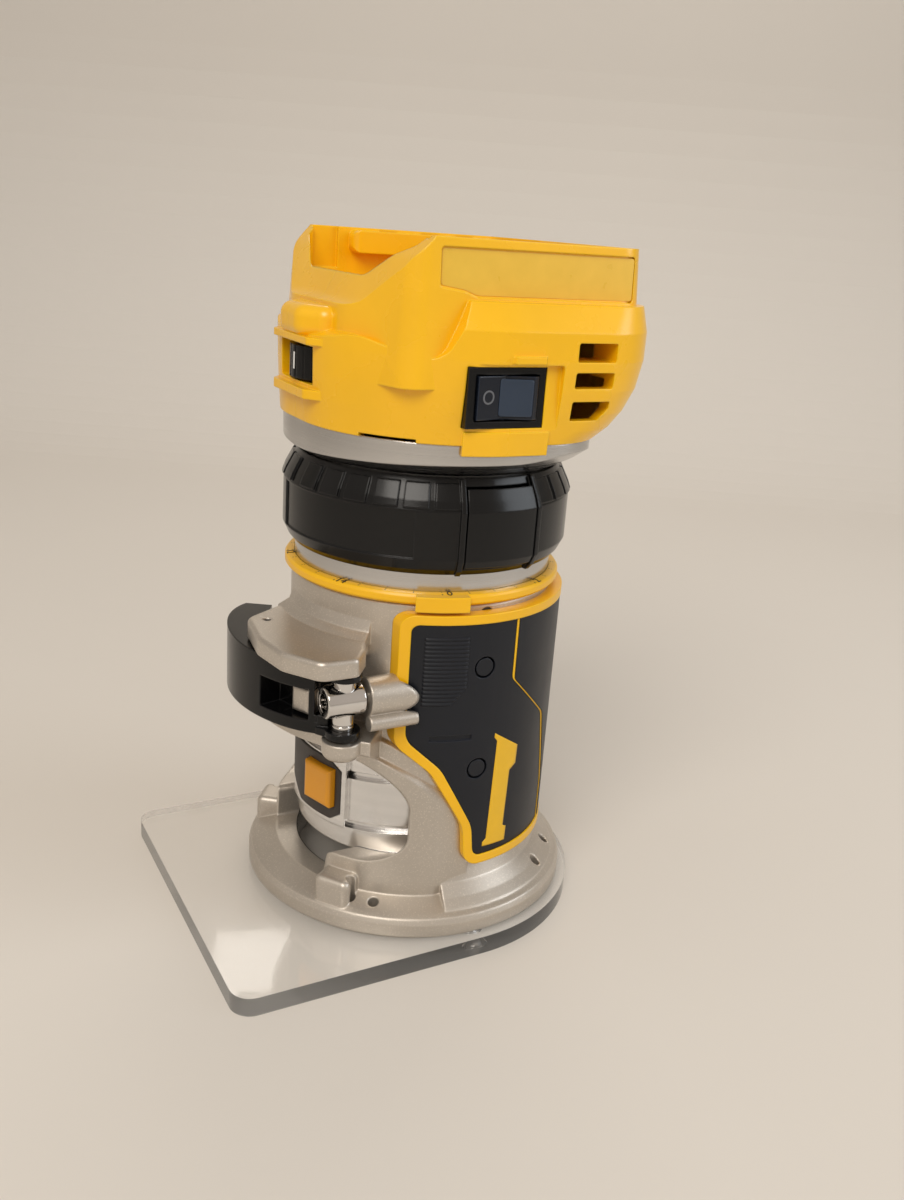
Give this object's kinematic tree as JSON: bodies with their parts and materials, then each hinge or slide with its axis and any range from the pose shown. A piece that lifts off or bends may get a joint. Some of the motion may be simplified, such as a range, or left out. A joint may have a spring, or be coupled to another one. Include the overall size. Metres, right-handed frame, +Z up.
{
  "type": "trim router",
  "caption": "Cordless trim router: motor unit with a battery receptacle, clamped in a cast base with a depth-adjusting ring and a clear D-shaped sub-base.",
  "frame": {"origin": "centre of the cutter opening on the underside of the sub-base, on the spindle axis", "axes": "+Z up along the spindle, -Y towards the clamp lever, speed dial and straight edge of the sub-base, +X towards the power switch"},
  "size_m": [0.105, 0.1259, 0.1956],
  "materials": {
    "clear_acrylic": "clear, polished faces and grey sawn edges",
    "steel": "ground steel",
    "dark_steel": "blackened steel",
    "cast_aluminium": "die-cast, satin with a fine sparkle",
    "turned_aluminium": "turned and polished",
    "yellow_plastic": "moulded, semi-gloss",
    "black_plastic": "glass-filled nylon, satin",
    "rocker_plastic": "smooth moulded",
    "brown_plastic": "moulded",
    "amber_plastic": "smooth moulded",
    "orange_plastic": "moulded",
    "grip_rubber": "soft overmould",
    "chrome": "polished plating",
    "copper": "lacquered copper wire",
    "brass": "plated contact",
    "clear_lens": "frosted lens"
  },
  "bodies": {
    "base": {"sub_base_plate": "clear_acrylic", "sub_base_screws": "steel", "base_casting": "cast_aluminium", "guide_pins": "dark_steel", "shelf_roll_pin": "dark_steel", "grip_trim": "yellow_plastic", "grip_pad_right": "grip_rubber", "grip_pad_left": "grip_rubber", "grip_rear_panel": "grip_rubber", "grip_plugs": "grip_rubber", "clamp_cross": "chrome", "clamp_bolt": "steel"},
    "scale_ring": {"depth_scale_ring": "yellow_plastic"},
    "clamp_lever": {"clamp_lever_arm": "black_plastic"},
    "adjusting_ring": {"depth_ring": "black_plastic", "thread_pins": "steel"},
    "release_right": {"release_tab_right": "black_plastic"},
    "release_left": {"release_tab_left": "black_plastic"},
    "motor": {"motor_can": "turned_aluminium", "spindle_lock_plate": "brown_plastic", "bearing_dome": "cast_aluminium", "stator_core": "steel", "stator_windings": "copper", "lower_bearing": "steel", "upper_bearing": "steel", "led_ring": "clear_lens", "housing_right": "yellow_plastic", "housing_left": "yellow_plastic", "power_switch_body": "black_plastic", "dial_potentiometer": "black_plastic", "control_module": "black_plastic", "terminal_block": "orange_plastic", "terminal_blades": "brass", "housing_screws": "dark_steel"},
    "spindle_unit": {"spindle": "steel", "rotor_core": "steel", "cooling_fan": "black_plastic", "collet": "steel", "collet_nut": "steel"},
    "lock": {"lock_button": "amber_plastic"},
    "rocker": {"power_rocker": "rocker_plastic"},
    "dial": {"speed_dial": "black_plastic"}
  },
  "joints": [
    {"name": "motor_height", "type": "slide", "parent": "base", "child": "motor", "axis": [0, 0, 1], "range_m": [0, 0.038]},
    {"name": "ring_turn", "type": "hinge", "parent": "base", "child": "adjusting_ring", "pos_m": [0, 0, 0.12], "axis": [0, 0, 1], "range_deg": [-860, 0]},
    {"name": "scale_ring_turn", "type": "hinge", "parent": "base", "child": "scale_ring", "pos_m": [0, 0, 0.104], "axis": [0, 0, 1], "continuous": true},
    {"name": "clamp_lever_swing", "type": "hinge", "parent": "base", "child": "clamp_lever", "pos_m": [0.03346, -0.03849, 0.076], "axis": [0, 0, 1], "range_deg": [0, 110]},
    {"name": "release_right_press", "type": "slide", "parent": "adjusting_ring", "child": "release_right", "axis": [-0.999, -0.0436, 0], "range_m": [0, 0.0013], "stiffness_N_per_m": 1500, "springref_m": -0.001},
    {"name": "release_left_press", "type": "slide", "parent": "adjusting_ring", "child": "release_left", "axis": [0.999, 0.0436, 0], "range_m": [0, 0.0013], "stiffness_N_per_m": 1500, "springref_m": -0.001},
    {"name": "spindle_turn", "type": "hinge", "parent": "motor", "child": "spindle_unit", "pos_m": [0, 0, 0.08], "axis": [0, 0, 1], "continuous": true},
    {"name": "lock_press", "type": "slide", "parent": "motor", "child": "lock", "axis": [-0.309, 0.9511, 0], "range_m": [0, 0.0026], "stiffness_N_per_m": 900, "springref_m": -0.002},
    {"name": "rocker_tip", "type": "hinge", "parent": "motor", "child": "rocker", "pos_m": [0.044, -0.0033, 0.1586], "axis": [0, 0, 1], "range_deg": [0, 8]},
    {"name": "dial_turn", "type": "hinge", "parent": "motor", "child": "dial", "pos_m": [0, -0.0295, 0.1615], "axis": [0, 0, 1], "range_deg": [0, 270]}
  ],
  "couplings": [
    {"joint": "ring_turn", "follows": "motor_height", "rad_per_m": -392.7}
  ]
}
